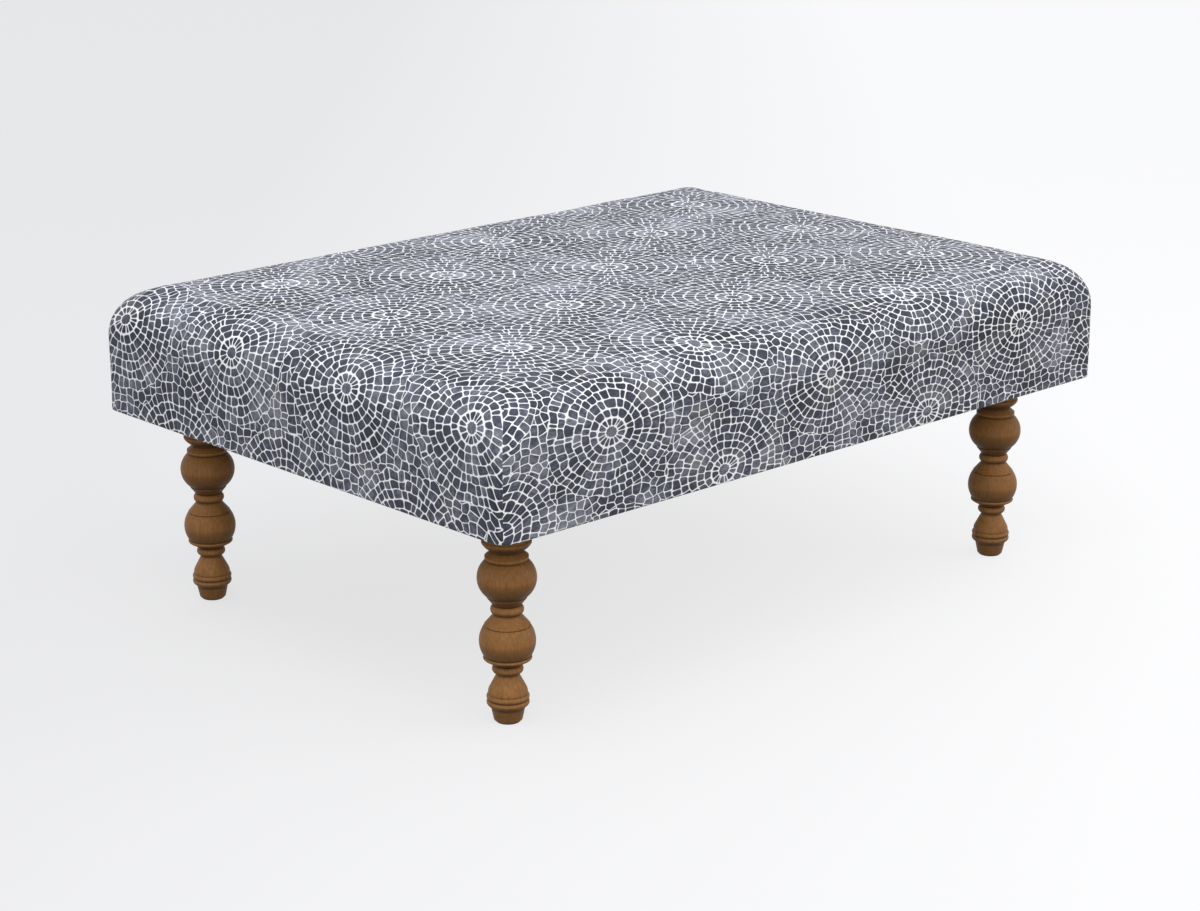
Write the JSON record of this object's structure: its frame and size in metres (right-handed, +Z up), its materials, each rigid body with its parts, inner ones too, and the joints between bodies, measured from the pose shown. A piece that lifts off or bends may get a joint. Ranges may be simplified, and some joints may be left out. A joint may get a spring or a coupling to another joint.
{
  "type": "footstool",
  "caption": "Low rectangular upholstered footstool with a padded block on a wooden frame and turned legs.",
  "frame": {"origin": "on the floor under the middle of the stool, in the plane of the glides' undersides", "axes": "+X along the long side towards the right-hand end, +Y from the front to the back, +Z up"},
  "size_m": [1.02, 0.747, 0.404],
  "materials": {
    "printed_cotton": "matt printed linen and cotton, slate blue mosaic on off-white",
    "polyester_wadding": "loose white wadding",
    "upholstery_foam": "open-cell foam",
    "platform_cloth": "plain hessian",
    "dust_cover_cloth": "thin black non-woven cloth",
    "webbing": "woven jute",
    "stained_wood": "mid-brown stain under satin lacquer",
    "frame_wood": "planed and unfinished",
    "zinc_steel": "zinc plated",
    "glide_plastic": "moulded, brown"
  },
  "bodies": {
    "root": {"fabric_cover": "printed_cotton", "wadding_wrap": "polyester_wadding", "foam_block": "upholstery_foam", "platform_cloth": "platform_cloth", "dust_cover": "dust_cover_cloth", "webbing_crosswise": "webbing", "webbing_lengthwise": "webbing", "front_legs": "stained_wood", "back_legs": "stained_wood", "side_rail_front": "frame_wood", "side_rail_back": "frame_wood", "end_rail_left": "frame_wood", "end_rail_right": "frame_wood", "cross_rail_left": "frame_wood", "cross_rail_right": "frame_wood", "corner_block_front_left": "frame_wood", "corner_block_front_right": "frame_wood", "corner_block_back_left": "frame_wood", "corner_block_back_right": "frame_wood", "leg_bolts": "zinc_steel", "leg_nuts": "zinc_steel", "foot_glides": "glide_plastic"}
  },
  "joints": []
}
